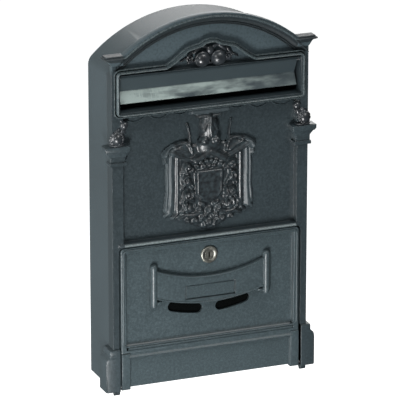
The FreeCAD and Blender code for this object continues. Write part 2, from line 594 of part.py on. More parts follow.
def lock_nut():
    body = lock_body("lock_nut")
    half, tall = "(d.nut_r / 2)", "(d.nut_r * sqrt(3) / 2)"
    right = [("d.nut_r", "0"), (half, tall), (f"0 - {half}", tall)]
    left = [("0 - d.nut_r", "0"), (f"0 - {half}", f"0 - {tall}"), (half, f"0 - {tall}")]
    front_pad(body, "Hexagon", "d.nut_front", "d.nut_back", right + left)
    front_holes(body, "Bore", "d.nut_front", "d.nut_back", [("0", "0")], "d.barrel_r + 0.1")
    return body


def lock_plug():
    body = lock_body("lock_plug")
    turned(body, "Round", [("d.plug_front", "0"), ("d.plug_back", "0"), ("d.plug_back", "d.plug_r"), ("d.plug_front", "d.plug_r")])
    square = box("0 - d.tail / 2", "d.tail / 2", "0 - d.tail / 2", "d.tail / 2")
    front_pad(body, "Tail", "d.plug_back - 1", "d.tail_back", square)
    key = box("0 - d.key_w / 2", "d.key_w / 2", "0 - d.key_tall / 2", "d.key_tall / 2")
    front_pocket(body, "KeySlot", "d.plug_front", "d.plug_front + d.key_deep", key)
    front_holes(body, "ScrewHole", "d.tail_back - 9", "d.tail_back", [("0", "0")], "d.cam_screw_r + 0.05")
    return body


def lock_cam():
    body = lock_body("lock_cam")
    points = [("0", "0 - d.cam_r"), ("d.cam_reach", "0 - d.cam_tip"), ("d.cam_reach", "d.cam_tip"), ("0", "d.cam_r")]
    front_pad(body, "Arm", "d.cam_front", "d.cam_back", points)
    sketch = new_sketch(body, "Disc", "XZ_Plane", "0 - d.cam_back")
    add_circle(sketch, "0", "0", "d.cam_r")
    extrude(body, "Pad", sketch, "d.cam_back - d.cam_front")
    half = "(d.tail / 2 + 0.06)"
    hole = box(f"0 - {half}", half, f"0 - {half}", half)
    front_pocket(body, "SquareHole", "d.cam_front", "d.cam_back", hole)
    return body


def cam_washer():
    body = lock_body("cam_washer")
    turned(body, "Ring", [("d.cam_back", "d.cam_screw_r + 0.2"), ("d.washer_back", "d.cam_screw_r + 0.2"),
                          ("d.washer_back", "d.washer_r"), ("d.cam_back", "d.washer_r")])
    return body


def cam_screw():
    screw = fastener("cam_screw", "0", "d.lock_z", "d.tail_back - 8", "d.washer_back", "d.cam_head_back",
                     "d.cam_screw_r", "d.cam_head_r")
    return screw


sub_parts = [
    rear_casing(), front_surround(), surround_screws(), slot_ornament(), crest_relief(), crest_rivets(),
    finial("left_finial", -1), finial("right_finial", 1), flap_rod(), slot_flap(), door_panel(),
    door_hinge_pin("left_hinge_pin", -1), door_hinge_pin("right_hinge_pin", 1),
    name_banner(), name_plate(), banner_rivets(), window_pane(), pane_screws(),
    lock_housing(), lock_nut(), lock_plug(), lock_cam(), cam_washer(), cam_screw(),
]
doc.recompute()

faults = [o.Label for o in doc.Objects if "Invalid" in o.State or "Error" in o.State]
for part in sub_parts:
    if part.Shape.isNull() or not part.Shape.isValid():
        faults.append(part.Label)
if faults:
    raise RuntimeError(f"faulty objects: {sorted(set(faults))}")
for part in sub_parts:
    part.Shape.exportStep(f"parts/{part.Label}.step")
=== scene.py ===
import math

import bmesh
import bpy
import numpy as np
from mathutils import Matrix, Vector


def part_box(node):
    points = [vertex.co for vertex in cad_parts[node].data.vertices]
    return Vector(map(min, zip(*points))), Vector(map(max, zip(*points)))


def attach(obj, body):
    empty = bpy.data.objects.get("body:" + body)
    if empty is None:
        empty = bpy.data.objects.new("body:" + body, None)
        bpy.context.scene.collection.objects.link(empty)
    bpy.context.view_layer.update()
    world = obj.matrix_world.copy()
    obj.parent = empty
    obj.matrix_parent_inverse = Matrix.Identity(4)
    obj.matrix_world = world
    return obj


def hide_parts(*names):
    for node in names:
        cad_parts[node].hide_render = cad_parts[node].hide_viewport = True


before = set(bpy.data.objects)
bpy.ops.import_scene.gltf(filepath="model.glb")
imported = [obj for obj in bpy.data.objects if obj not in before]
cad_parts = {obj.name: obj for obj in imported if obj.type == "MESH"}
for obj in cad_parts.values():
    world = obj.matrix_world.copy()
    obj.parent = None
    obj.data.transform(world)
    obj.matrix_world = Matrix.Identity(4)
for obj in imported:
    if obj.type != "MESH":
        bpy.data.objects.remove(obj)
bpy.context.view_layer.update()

# ---------------------------------------------------------------- rear casing
# A deep tray of cast aluminium with an arched top. Its back lies on the wall and has four
# holes for wall screws. It is powder coated slate grey, with the light grain of such paint.
MM = 0.001
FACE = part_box("left_finial")[1].y
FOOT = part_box("door_panel")[0].z


class Value:
    """A shader socket that takes part in Python arithmetic."""

    def __init__(self, finish, socket):
        self.finish, self.socket = finish, socket

    def math(self, operation, first, second):
        return self.finish.node("ShaderNodeMath", {"operation": operation}, {0: first, 1: second})

    def __add__(self, other):
        return self.math("ADD", self, other)

    def __mul__(self, other):
        return self.math("MULTIPLY", self, other)


class Finish:
    """One material: a Principled shader and the nodes that feed it."""

    def __init__(self, name):
        self.material = bpy.data.materials.new(name)
        self.material.use_nodes = True
        self.tree = self.material.node_tree
        self.tree.nodes.clear()
        self.shader = self.tree.nodes.new("ShaderNodeBsdfPrincipled")
        output = self.tree.nodes.new("ShaderNodeOutputMaterial")
        self.tree.links.new(self.shader.outputs[0], output.inputs[0])

    def feed(self, socket, value):
        if isinstance(value, Value):
            self.tree.links.new(value.socket, socket)
        else:
            socket.default_value = value

    def node(self, kind, settings=None, inputs=None, output=0):
        made = self.tree.nodes.new(kind)
        for key, value in (settings or {}).items():
            setattr(made, key, value)
        for key, value in (inputs or {}).items():
            self.feed(made.inputs[key], value)
        return Value(self, made.outputs[output])

    def coords(self):
        return self.node("ShaderNodeTexCoord", output="Object")

    def axis(self, index):
        """The object coordinate along x, y or z, in metres."""
        return self.node("ShaderNodeSeparateXYZ", None, {0: self.coords()}, index)

    def noise(self, scale, detail=2, stretch=(1, 1, 1), tilt=0):
        """Clouds; tilt turns them in the plane of the front, in degrees."""
        spin = (0, math.radians(tilt), 0)
        inputs = {"Vector": self.coords(), "Rotation": spin, "Scale": stretch}
        place = self.node("ShaderNodeMapping", None, inputs)
        return self.node("ShaderNodeTexNoise", None, {"Vector": place, "Scale": scale, "Detail": detail})

    def band(self, value, low, high):
        """A share from 0 to 1 as the value goes from low to high."""
        return self.node("ShaderNodeMapRange", {"clamp": True}, {0: value, 1: low, 2: high, 3: 0, 4: 1})

    def mix(self, share, first, second):
        return self.node("ShaderNodeMix", {"data_type": "RGBA"}, {0: share, 6: first, 7: second}, 2)

    def bump(self, height, strength, depth, soft=0.0):
        inputs = {"Height": height, "Strength": strength, "Distance": depth}
        if soft:
            inputs["Normal"] = self.node("ShaderNodeBevel", {"samples": 6}, {"Radius": soft})
        return self.node("ShaderNodeBump", None, inputs)

    def set(self, **values):
        for name, value in values.items():
            self.feed(self.shader.inputs[name.replace("_", " ")], value)
        return self.material


def shade(colour, factor=1.0):
    return (colour[0] * factor, colour[1] * factor, colour[2] * factor, 1)


def powder_coat(name, colour, roughness=0.34, soft=0.0006, grain=0.3, painted_light_above=None):
    """Paint with a fine grain; if a height over the foot in mm is given, it is paler above it: painted
    light.
    """
    finish = Finish(name)
    broad = finish.noise(9, 3)
    mottle = finish.noise(420, 3)
    fine = finish.noise(1300, 2)
    speck = finish.band(finish.noise(1500, 1), 0.58, 0.72)
    tone = finish.mix(finish.band(broad, 0.3, 0.7), shade(colour, 0.86), shade(colour, 1.14))
    if painted_light_above:
        start = FOOT + painted_light_above * MM
        painted_light_rise = finish.band(finish.axis(2), start, start + 12 * MM)
        tone = finish.mix(painted_light_rise * 0.8, tone, shade(colour, 2.8))
    tone = finish.mix(finish.band(mottle, 0.6, 0.3) * 0.42, tone, shade(colour, 0.5))
    tone = finish.mix(finish.band(mottle, 0.5, 0.72) * 0.3, tone, shade(colour, 1.7))
    tone = finish.mix(speck * 0.3, tone, shade(colour, 2.6))
    rough = finish.band(mottle, 0.3, 0.7) * 0.1 + (fine * 0.08 + (roughness - 0.09))
    normal = finish.bump(fine * 0.5 + mottle * 1.4, grain, 0.00014, soft)
    return finish.set(Base_Color=tone, Roughness=rough, Normal=normal, Metallic=0.0,
                      Specular_IOR_Level=0.5)


SLATE = (0.039, 0.054, 0.061)
coat = powder_coat("slate_powder_coat", SLATE)
# the front's coat is darker than the slate, painted shade, and paler above the slot's frame, painted
# light from above
front_painted_shade_light_paint = powder_coat("front_paint_painted_shade_light", shade(SLATE, 0.8), painted_light_above=352)
# the beads are painted paler than the slate: painted highlight
bead_highlight_paint = powder_coat("painted_highlight_beads", (0.078, 0.101, 0.107), 0.28, 0.0003, 0.12)
# a darker copy of the slate: painted shade in the cove under the rim and on the ears
painted_shade_cove_paint = powder_coat("painted_shade_cove_paint", shade(SLATE, 0.6), 0.52)
# the casing's coat is a little paler than the slate: painted light on its top and sides
casing_painted_light_paint = powder_coat("casing_paint_painted_light", shade(SLATE, 1.1), 0.43)


def dress(node, material):
    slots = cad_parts[node].data.materials
    slots.clear()
    slots.append(material)


# ------------------------------------------------------------- front surround
# One casting with the arched rim and its ears, the frame of the letter slot, the panel, the
# rail over the door and the two pilasters. Six screws from inside hold it on the casing.
def spot(x, y, z):
    """A place from the middle of the front, its face and its foot, in mm."""
    return Vector((x * MM, FACE + y * MM, FOOT + z * MM))


def copied(node):
    bm = bmesh.new()
    bm.from_mesh(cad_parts[node].data)
    bmesh.ops.remove_doubles(bm, verts=bm.verts, dist=2e-6)
    bmesh.ops.dissolve_limit(bm, angle_limit=0.01, verts=bm.verts, edges=bm.edges)
    bmesh.ops.recalc_face_normals(bm, faces=bm.faces)
    return bm


def round_edges(bm, y, width, segments=3, where=lambda x, z: True):
    """Round the edges that lie in one plane parallel to the wall."""
    level = FACE + y * MM
    edges = []
    for edge in bm.edges:
        middle = (edge.verts[0].co + edge.verts[1].co) / 2
        flat = all(abs(v.co.y - level) < 2e-5 for v in edge.verts)
        if flat and edge.calc_face_angle(0) > 0.5:
            if where(abs(middle.x) / MM, (middle.z - FOOT) / MM):
                edges.append(edge)
    bmesh.ops.bevel(bm, geom=edges, offset=width * MM, offset_type="OFFSET", affect="EDGES",
                    segments=segments, profile=0.5, material=-1, clamp_overlap=True)


def make_piece(bm, name, body, material, replaces=(), crease=38):
    for edge in bm.edges:
        edge.smooth = edge.calc_face_angle(0) < math.radians(crease)
    for face in bm.faces:
        face.smooth = True
    mesh = bpy.data.meshes.new(name)
    bm.to_mesh(mesh)
    bm.free()
    mesh.materials.append(material)
    piece = bpy.data.objects.new(name, mesh)
    bpy.context.scene.collection.objects.link(piece)
    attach(piece, body)
    if replaces:
        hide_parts(*replaces)
    return piece


def sweep(bm, path, profile, closed=False):
    """Carry a profile of (outward, y) points along a path of (x, z) points on the front.

    Outward is to the left of the path; the path of a closed frame runs clockwise.
    """
    rows = []
    for i, place in enumerate(path):
        before = path[i - 1] if closed or i else None
        after = path[(i + 1) % len(path)] if closed or i < len(path) - 1 else None
        turns = []
        for start, end in ((before, place), (place, after)):
            if start and end:
                run = Vector(end) - Vector(start)
                turns.append(Vector((-run.y, run.x)).normalized())
        first, last = turns[0], turns[-1]
        mitre = (first + last) / (1 + first.dot(last))
        points = [spot(place[0] + mitre.x * out, y, place[1] + mitre.y * out) for out, y in profile]
        rows.append([bm.verts.new(point) for point in points])
    for low, high in zip(rows, rows[1:] + (rows[:1] if closed else [])):
        for i in range(len(profile) - 1):
            bm.faces.new((low[i], low[i + 1], high[i + 1], high[i]))
    if not closed:
        bm.faces.new(rows[0])
        bm.faces.new(rows[-1])


def facing(bm):
    """Turn an open skin so that it faces the front."""
    bmesh.ops.recalc_face_normals(bm, faces=bm.faces)
    if sum(face.normal.y * face.calc_area() for face in bm.faces) > 0:
        bmesh.ops.reverse_faces(bm, faces=bm.faces)


def half_round(width, proud, back=0.5, steps=8):
    """Profile of a bead."""
    line = [(-width, back)]
    for i in range(steps + 1):
        turn = math.pi * i / steps
        line.append((-width * math.cos(turn), -proud * math.sin(turn) ** 0.8))
    return line + [(width, back)]


def rounded(corners, radius, steps=5):
    """A closed clockwise path through the corners, each one rounded."""
    path = []
    for i, corner in enumerate(corners):
        here = Vector(corner)
        into = (Vector(corners[i - 1]) - here).normalized()
        out = (Vector(corners[(i + 1) % len(corners)]) - here).normalized()
        half = into.angle(out) / 2
        if half > math.radians(80):
            path.append(tuple(here))
            continue
        reach = radius / math.tan(half)
        middle = here + (into + out).normalized() * radius / math.sin(half)
        first, last = here + into * reach - middle, here + out * reach - middle
        sweep_angle = first.angle_signed(last)
        for k in range(steps + 1):
            arm = first.copy()
            arm.rotate(Matrix.Rotation(-sweep_angle * k / steps, 2))
            path.append(tuple(middle + arm))
    return path


def round_corners(bm, radius, where):
    """Round the edges that run straight back from the front."""
    edges = []
    for edge in bm.edges:
        first, last = edge.verts[0].co, edge.verts[1].co
        if abs(first.x - last.x) < 1e-5 and abs(first.z - last.z) < 1e-5:
            if edge.calc_face_angle(0) > 0.5 and where(abs(first.x) / MM, (first.z - FOOT) / MM):
                edges.append(edge)
    bmesh.ops.bevel(bm, geom=edges, offset=radius * MM, offset_type="OFFSET", affect="EDGES",
                    segments=4, profile=0.5, material=-1, clamp_overlap=True)


casing = copied("rear_casing")
round_corners(casing, 5, lambda x, z: x > 112 and z > 330)
make_piece(casing, "casing_shell", "casing", casing_painted_light_paint, ["rear_casing"])

PILASTER_X = 112.3
FRAME_X, FRAME_FOOT, FRAME_TOP, FRAME_RADIUS = 105.8, 308.4, 354.8, 3.4
surround = copied("front_surround")
round_corners(surround, 5, lambda x, z: abs(x - PILASTER_X) < 0.2 and 345 < z < 362)
round_corners(surround, FRAME_RADIUS,
              lambda x, z: abs(x - FRAME_X) < 0.1 and min(abs(z - 308), abs(z - 355.5)) < 0.1)
round_edges(surround, -3, 0.35, 2, lambda x, z: z > 300)
round_edges(surround, -2, 0.4, 2)
round_edges(surround, -1, 0.9, 3)
round_edges(surround, -3, 1.0, 3, lambda x, z: z < 60 and x > 106)
make_piece(surround, "surround", "casing", front_painted_shade_light_paint, ["front_surround"])

# the bead of the rim, which runs out over the ears, and the cove under it; the middle of the
# arch lies this high over the foot
ARCH_Z = 254.5


def arc(radius, low, steps=44):
    """Path over the arch at a radius, between the two places at one height."""
    half = math.acos((low - ARCH_Z) / radius)
    turns = [half * i / steps for i in range(-steps, steps + 1)]
    return [(radius * math.sin(turn), ARCH_Z + radius * math.cos(turn)) for turn in turns]


bead_r, turn_r, ear_z = 152.4, 6.0, 371.3
lift = math.asin((ear_z + turn_r - ARCH_Z) / (bead_r + turn_r))
centre_x = (bead_r + turn_r) * math.cos(lift)
bend = []
for i in range(7):
    angle = math.radians(270) + (lift - math.radians(90)) * i / 6
    bend.append((centre_x + turn_r * math.cos(angle), ear_z + turn_r + turn_r * math.sin(angle)))
right_end = [(118.4, ear_z)] + bend
rim_path = [(-x, z) for x, z in right_end] + arc(bead_r, bend[-1][1])[1:-1] + right_end[::-1]
rim_bead = bmesh.new()
sweep(rim_bead, rim_path, half_round(1.0, 5.3, 0.5))
facing(rim_bead)
# the rim bead's paler paint is a painted highlight
make_piece(rim_bead, "rim_bead", "casing", bead_highlight_paint, ())

cove_line = [(151.2, -2.7), (150.4, -2.5)]
for i in range(9):
    turn = math.radians(90) * i / 8
    cove_line.append((144.8 + 5.4 * math.cos(turn), -1.6 + 6.0 * math.sin(turn)))
cove_line += [(144.4, 3.6), (143.4, 3.5), (143.0, 5.0), (142.4, 4.4), (141.6, 4.4), (141.2, 6.2)]
cove = bmesh.new()
sweep(cove, arc(150, 340), [(r - 150, y) for r, y in cove_line])
bmesh.ops.bisect_plane(cove, geom=cove.verts[:] + cove.edges[:] + cove.faces[:],
                       plane_co=spot(0, 0, 356), plane_no=(0, 0, -1), clear_outer=True)
facing(cove)
# the cove's darker paint is painted shade
make_piece(cove, "rim_cove", "casing", painted_shade_cove_paint, ())

# the bead round the slot, with a groove and a fillet outside it
ogee = [(-50.6, 354.9), (-42.3, 359.9), (-33.3, 366.8), (-26.5, 371.8),
        (-18.7, 373.6), (-11.5, 375.2), (-6.5, 378.2), (0, 379.4)]
frame_corners = [(-FRAME_X, FRAME_FOOT), (-FRAME_X, FRAME_TOP)] + ogee
frame_corners += [(-x, z) for x, z in frame_corners[-2::-1]]
fillet = [(3.6, 0.2), (3.3, -0.5), (2.5, -0.5), (2.2, 0.0)]
slot_bead = bmesh.new()
sweep(slot_bead, rounded(frame_corners, FRAME_RADIUS), fillet + half_round(1.15, 4.6, 0.0)[::-1], True)
facing(slot_bead)
# the slot bead's paler paint is a painted highlight
make_piece(slot_bead, "slot_bead", "casing", bead_highlight_paint, ())

# swags below the slot's frame, three hanging curves a side, with a hem along the lower edge
for side in (-1, 1):
    edge_line = [(99, 308)]
    for start, end, drop in ((99, 70, 7.5), (70, 44, 7.0), (44, 22, 5.0)):
        for i in range(1, 13):
            share = i / 12
            sag = drop * math.sin(math.pi * share) ** 0.8
            edge_line.append((start + (end - start) * share, 305.5 - sag))
    edge_line.append((22, 308))
    swag = bmesh.new()
    rim = [swag.verts.new(spot(side * x, 7.9, z)) for x, z in edge_line]
    cloth = swag.faces.new(rim)
    bmesh.ops.inset_region(swag, faces=[cloth], thickness=0.9 * MM, depth=0)
    bmesh.ops.translate(swag, verts=cloth.verts, vec=(0, -1.3 * MM, 0))
    facing(swag)
    hem = [(side * x, z) for x, z in edge_line[1:-1]]
    sweep(swag, hem if side < 0 else hem[::-1], [(a, 7.2 + y) for a, y in half_round(0.8, 1.8, 0.6, 4)])
    make_piece(swag, f"swag_{'left' if side < 0 else 'right'}", "casing", coat, (), 70)

# bead along the rail over the door, paler than the rest: painted highlight
rail_painted_highlight_paint = powder_coat("rail_painted_highlight_paint", (0.16, 0.195, 0.2), 0.3, 0.0003, 0.12)
rail = bmesh.new()
sweep(rail, [(-98.5, 163.5), (98.5, 163.5)], half_round(1.5, 3.4, 0.3))
facing(rail)
make_piece(rail, "rail_bead", "casing", rail_painted_highlight_paint, ())


# ------------------------------------------------ ears, capitals and base blocks
# The rim ends in a small cornice over each pilaster. The pilasters have capitals with a top
# plate, a hollow neck and a round ring. Their feet spread in a cyma. All turn the corner.
def stack(bm, side, levels, back):
    """A moulding of rectangular levels (z, inner x, outer x, front y), lowest first."""
    loops = []
    for z, inner, outer, front in levels:
        round_in, round_out = 0.4, min(2.0, max(outer - PILASTER_X - 0.1, 0.3))
        corners = [(inner, back), (inner, front + round_in), (inner + round_in, front),
                   (outer - round_out, front), (outer - round_out * 0.3, front + round_out * 0.3),
                   (outer, front + round_out), (outer, back)]
        loops.append([bm.verts.new(spot(side * x, y, z)) for x, y in corners])
    for low, high in zip(loops, loops[1:]):
        for i in range(len(low)):
            j = (i + 1) % len(low)
            bm.faces.new((low[i], low[j], high[j], high[i]))
    bm.faces.new(loops[0])
    bm.faces.new(loops[-1])
    bmesh.ops.recalc_face_normals(bm, faces=bm.faces)


# outlines as height and outward reach; the ear has a reach of its own for its front
capital_line = [(252.8, 0.3), (253.2, 1.8), (254.0, 2.8), (255.2, 3.3), (256.3, 2.8), (257.2, 1.6),
                (257.8, 1.3)]
for i in range(9):
    share = i / 8
    neck = 1 - math.cos(math.radians(90) * share)
    capital_line.append((258.4 + 9.4 * share, 1.3 + 4.4 * neck))
capital_line += [(268.3, 5.8), (268.5, 7.0), (269.4, 8.0), (271.4, 8.5), (273.6, 8.4), (274.9, 7.6),
                 (275.3, 6.0)]
base_line = [(-0.2, 9.2), (33.6, 9.3), (35.6, 9.0), (37.4, 8.0), (38.8, 6.4), (40.0, 5.2),
             (41.2, 4.7), (41.6, 4.9), (45.4, 4.9), (46.8, 4.2), (47.6, 1.2)]
ear_line = [(362.8, 0.1, 0.2)]
for i in range(9):
    share = i / 8
    ear_line.append((363.4 + 6.2 * share, 0.5 + 5.1 * share ** 1.5, 0.5 + 2.5 * share ** 1.5))
ear_line += [(369.9, 6.0, 3.2), (370.2, 7.6, 4.4), (370.8, 8.8, 5.2), (371.6, 9.2, 5.4),
             (372.3, 8.4, 4.8), (372.5, 7.2, 3.4), (373.6, 7.3, 3.4), (374.1, 6.6, 3.0)]
for side, word in ((-1, "left"), (1, "right")):
    ear = bmesh.new()
    stack(ear, side, [(z, 100, PILASTER_X + out, -front) for z, out, front in ear_line], 8.2)
    # the ears take the darker paint: painted shade
    make_piece(ear, f"ear_{word}", "casing", painted_shade_cove_paint, (), 28)
    capital = bmesh.new()
    levels = [(z, 98.6 - out * 0.66, PILASTER_X + out, -out * 0.52) for z, out in capital_line]
    stack(capital, side, levels, 9.7)
    make_piece(capital, f"capital_{word}", "casing", coat, (), 28)
    base = bmesh.new()
    levels = [(z, 105.2, PILASTER_X - 0.1 + out, -3.2 * min(out / 5, 1)) for z, out in base_line]
    stack(base, side, levels, 18.2)
    make_piece(base, f"base_block_{word}", "casing", coat, (), 28)

# --------------------------------------------------------------- slot ornament
# Two balls under curled leaves with a small ring boss on each side, cast in one and set in
# the raised middle of the slot's frame. Glossy near-black paint.
INK = (0.020, 0.024, 0.028)


def gloss_paint(name, colour, roughness=0.3):
    finish = Finish(name)
    broad = finish.noise(110, 3)
    tone = finish.mix(finish.band(broad, 0.35, 0.7), shade(colour, 0.6), shade(colour, 1.9))
    rough = finish.band(broad, 0.3, 0.7) * 0.14 + (roughness - 0.05)
    normal = finish.bump(finish.noise(500, 2), 0.3, 0.0002, 0.0005)
    return finish.set(Base_Color=tone, Roughness=rough, Normal=normal, Specular_IOR_Level=0.8)


gloss = gloss_paint("gloss_black_casting", INK)


def add_ball(bm, centre, radii, turn=0.0, segments=32):
    """A ball or egg; turn tilts it in the plane of the front, in degrees."""
    made = bmesh.ops.create_uvsphere(bm, u_segments=segments, v_segments=segments // 2, radius=1)
    sizes = Matrix.Diagonal((radii[0] * MM, radii[1] * MM, radii[2] * MM, 1))
    place = Matrix.Translation(spot(*centre)) @ Matrix.Rotation(math.radians(turn), 4, "Y") @ sizes
    bmesh.ops.transform(bm, matrix=place, verts=made["verts"])


def add_ring(bm, centre, radius, thick, steps=28):
    """A ring that lies flat on the front."""
    made = bmesh.ops.create_circle(bm, segments=12, radius=thick * MM)
    verts = made["verts"]
    bmesh.ops.translate(bm, verts=verts, vec=(radius * MM, 0, 0))
    edges = list({edge for vert in verts for edge in vert.link_edges})
    swept = bmesh.ops.spin(bm, geom=verts + edges, cent=(0, 0, 0), axis=(0, 1, 0),
                           angle=math.radians(360), steps=steps, use_merge=True)
    ring = [item for item in swept["geom_last"] if isinstance(item, bmesh.types.BMVert)] + verts
    reach, todo = set(ring), list(ring)
    while todo:
        for edge in todo.pop().link_edges:
            for vert in edge.verts:
                if vert not in reach:
                    reach.add(vert)
                    todo.append(vert)
    bmesh.ops.translate(bm, verts=list(reach), vec=spot(*centre))


leaves = (((13.5, 3.4, 371.0), (8.2, 2.6, 2.3), 40), ((6.4, 3.6, 373.4), (6.6, 2.6, 2.0), -24),
          ((22.0, 4.4, 366.0), (6.6, 2.0, 1.8), 50), ((20.0, 5.0, 356.8), (5.6, 1.6, 1.5), 12),
          ((29.4, 5.2, 360.2), (4.6, 1.4, 1.2), 30))
ornament = bmesh.new()
for side in (-1, 1):
    add_ball(ornament, (side * 9.2, 2.6, 359.6), (8.4, 7.4, 8.2))
    add_ring(ornament, (side * 9.4, 1.2, 359.8), 7.2, 1.5)
    for (x, y, z), size, tilt in leaves:
        add_ball(ornament, (side * x, y, z), size, side * tilt, 16)
    add_ring(ornament, (side * 22.4, 4.6, 360.6), 3.0, 1.1)
    add_ball(ornament, (side * 22.4, 4.4, 360.6), (1.5, 1.8, 1.5), 0, 16)
add_ball(ornament, (0, 3.2, 369.0), (4.4, 3.4, 5.2), 0, 20)
add_ball(ornament, (0, 4.4, 354.6), (6.0, 2.0, 1.6), 0, 16)
make_piece(ornament, "slot_ornament_cast", "casing", gloss, ["slot_ornament"])

# -------------------------------------------------------------------- finials
# A scroll that ends in a ball stands on each capital, with a small bud above it. Each is a
# little casting pinned to the pilaster, in the same gloss paint.
for side, name in ((-1, "left_finial"), (1, "right_finial")):
    finial = bmesh.new()
    add_ball(finial, (side * 107.0, -0.6, 283.4), (6.6, 6.4, 6.8))
    for step in range(12):
        share = step / 11
        angle = math.radians(215 - 300 * share)
        reach = 7.0 - 2.4 * share
        x, z = 106.0 - reach * math.cos(angle), 283.6 + reach * math.sin(angle)
        size = 2.7 - 1.2 * share
        add_ball(finial, (side * x, 0.4 - 4.6 * share, z), (size, size, size), 0, 20)
    add_ball(finial, (side * 100.8, 0.4, 289.8), (3.4, 3.4, 5.6), -side * 30, 20)
    add_ball(finial, (side * 106.4, 0.6, 291.2), (2.6, 3.0, 4.8), -side * 50, 20)
    add_ball(finial, (side * 98.6, -0.4, 297.2), (4.4, 4.2, 4.6))
    add_ball(finial, (side * 101.4, 1.2, 301.6), (1.6, 1.8, 3.4), side * 32, 16)
    add_ball(finial, (side * 106.0, 0.5, 276.6), (9.0, 5.4, 2.2), 0, 24)
    make_piece(finial, f"{name}_cast", "casing", gloss, [name])

# ---------------------------------------------------------------------- crest
# A plain shield under a helm and a coronet, between hanging drapes and leaf scrolls. It is a
# flat-backed fine casting, riveted to the panel through its back. The drapes and the
# coronet's bar are painted slate, the rest a gloss near black.
finish = Finish("crest_paint")
sideways = finish.axis(0)
bar_z = FOOT + 298 * MM
drape = finish.band(sideways * sideways, 0.039 ** 2, 0.042 ** 2)
drape = drape + finish.band(finish.axis(2), bar_z - 0.5 * MM, bar_z + 0.5 * MM)
cloud = finish.noise(260, 3)
ink_tone = finish.mix(finish.band(cloud, 0.35, 0.7), shade(INK, 0.6), shade(SLATE, 0.9))
slate_tone = finish.mix(finish.band(cloud, 0.3, 0.7), shade(SLATE, 0.8), shade(SLATE, 1.3))
crest_paint = finish.set(Base_Color=finish.mix(drape, ink_tone, slate_tone),
                         Roughness=drape * 0.16 + 0.33, Specular_IOR_Level=0.7,
                         Normal=finish.bump(cloud, 0.35, 0.0003, 0.0006))

# The relief is a field of heights in mm over a grid; BELOW marks where there is no metal.
GRID, HALF_WIDE, TALL, MIDDLE_Z = 0.5, 55.0, 140.0, 237.5
BACK_Y, STRETCH, BELOW, PASSES = 8.0, 1.25, -0.4, 12
crest = bmesh.new()
bmesh.ops.create_grid(crest, x_segments=int(2 * HALF_WIDE / GRID), y_segments=int(TALL / GRID), size=1)
flat = np.array([vert.co for vert in crest.verts])
X = flat[:, 0] * HALF_WIDE
Z = MIDDLE_Z + flat[:, 1] * TALL / 2
side_x = np.abs(X)
relief = np.full(len(X), BELOW)


def raise_to(height):
    np.maximum(relief, height, out=relief)


def bar(x0, z0, x1, z1, r0, r1, height, base=0.0):
    """A rounded bar from one place to another, on both sides of the middle."""
    dx, dz = x1 - x0, z1 - z0
    share = np.clip(((side_x - x0) * dx + (Z - z0) * dz) / (dx * dx + dz * dz), 0, 1)
    away = np.hypot(side_x - x0 - share * dx, Z - z0 - share * dz)
    radius = r0 + (r1 - r0) * share
    inside = np.clip(1 - (away / radius) ** 2, 0, None)
    raise_to(np.where(away < radius, base + height * np.sqrt(inside), BELOW))


def chain(points, r0, r1, height, base=0.0):
    """Bars from point to point, whose radius goes from r0 to r1."""
    steps = len(points) - 1
    for i, ((x0, z0), (x1, z1)) in enumerate(zip(points, points[1:])):
        first, last = r0 + (r1 - r0) * i / steps, r0 + (r1 - r0) * (i + 1) / steps
        bar(x0, z0, x1, z1, first, last, height, base)


def dome(x, z, rx, rz, height, base=0.0):
    away = ((side_x - x) / rx) ** 2 + ((Z - z) / rz) ** 2
    raise_to(np.where(away < 1, base + height * np.sqrt(np.clip(1 - away, 0, None)), BELOW))


def volute(x, z, radius, hand, start, width, height, base=0.0):
    """A leaf scroll that winds in to a ball."""
    points = []
    for i in range(15):
        share = i / 14
        angle = math.radians(start + hand * 430 * share)
        reach = radius * (1 - 0.8 * share)
        points.append((x + reach * math.cos(angle), z + reach * math.sin(angle)))
    chain(points, width, width * 0.55, height, base)
    dome(x, z, width * 1.25, width * 1.25, height * 1.15, base)


def slab(outline, height, slope=1.2):
    """A flat plate with sloping edges from a convex outline on the right side."""
    inside = np.full(len(X), 1e9)
    for (x0, z0), (x1, z1) in zip(outline, outline[1:]):
        length = math.hypot(x1 - x0, z1 - z0)
        away = ((x1 - x0) * (Z - z0) - (z1 - z0) * (side_x - x0)) / length
        inside = np.minimum(inside, away)
    raise_to(np.where(inside > 0, np.minimum(inside * slope + 0.2, 1) * height, BELOW))


def leaf(x, z, turn, length, r0, r1, height, base):
    """A short bar that leans by some degrees from upright."""
    lean = math.radians(turn)
    bar(x, z, x + length * math.sin(lean), z + length * math.cos(lean), r0, r1, height, base)


# backing of the whole relief
slab([(0, 168.5), (9, 170), (26, 179), (40, 189), (40, 256), (24, 264), (0, 266)], 2.4, 0.7)
# drapes with upright folds, which hang from a rope that ends in knots
slab([(30, 196), (45.5, 191), (49.4, 192), (49.2, 240), (50.4, 256), (30, 258), (30, 196)], 2.0, 0.7)
for x, foot, radius, height in ((32.6, 197, 2.0, 3.2), (36.4, 194, 2.2, 3.8), (41.2, 192, 1.5, 2.8),
                                (44.0, 191, 2.3, 3.8), (48.4, 195, 1.7, 3.4)):
    lean = (x - 30) * 0.06
    fold = [(x - lean, 257), (x - lean * 0.2, 238), (x - lean * 0.8, 216), (x + lean, foot)]
    chain(fold, radius * 0.7, radius * 1.3, height)
slab([(17, 250), (50, 260), (49, 264), (36, 266), (26, 270), (19, 262), (17, 250)], 3.4)
chain([(14, 247.5), (24, 250), (33, 254), (42, 258.5), (50, 261)], 1.9, 1.9, 6.4)
chain([(20, 262), (26, 269), (34, 268.5), (43, 266), (49, 262)], 1.4, 1.7, 5.6)
chain([(23, 256), (31, 261), (39, 264)], 1.7, 1.2, 5.8)
dome(50.2, 257.6, 3.9, 4.2, 7.2)
dome(50.6, 250.5, 2.2, 4.0, 4.8)
